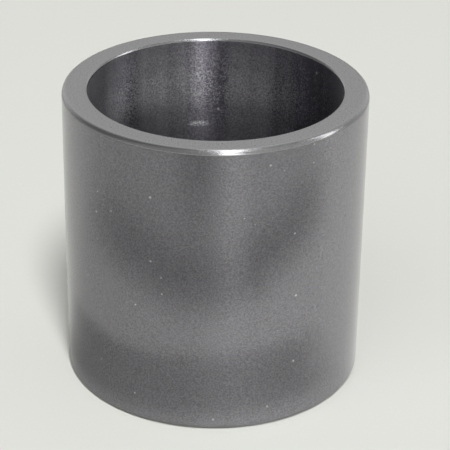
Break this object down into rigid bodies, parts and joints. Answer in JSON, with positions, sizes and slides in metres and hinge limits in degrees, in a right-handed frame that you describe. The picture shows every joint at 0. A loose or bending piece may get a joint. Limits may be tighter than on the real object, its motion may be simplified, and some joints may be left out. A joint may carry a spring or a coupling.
{
  "type": "sleeve bearing",
  "caption": "Plain cylindrical sleeve bearing with a smooth through bore and lightly rounded edges, pressed into a housing to carry a turning shaft.",
  "frame": {"origin": "centre of the end face that the sleeve stands on", "axes": "+Z along the bore, from the end face that it stands on to the other; X and Y lie in that face and are alike"},
  "size_m": [0.03, 0.03, 0.03],
  "materials": {
    "sleeve": "dark grey satin, as blackened steel"
  },
  "bodies": {
    "root": {"sleeve": "sleeve"}
  },
  "joints": []
}
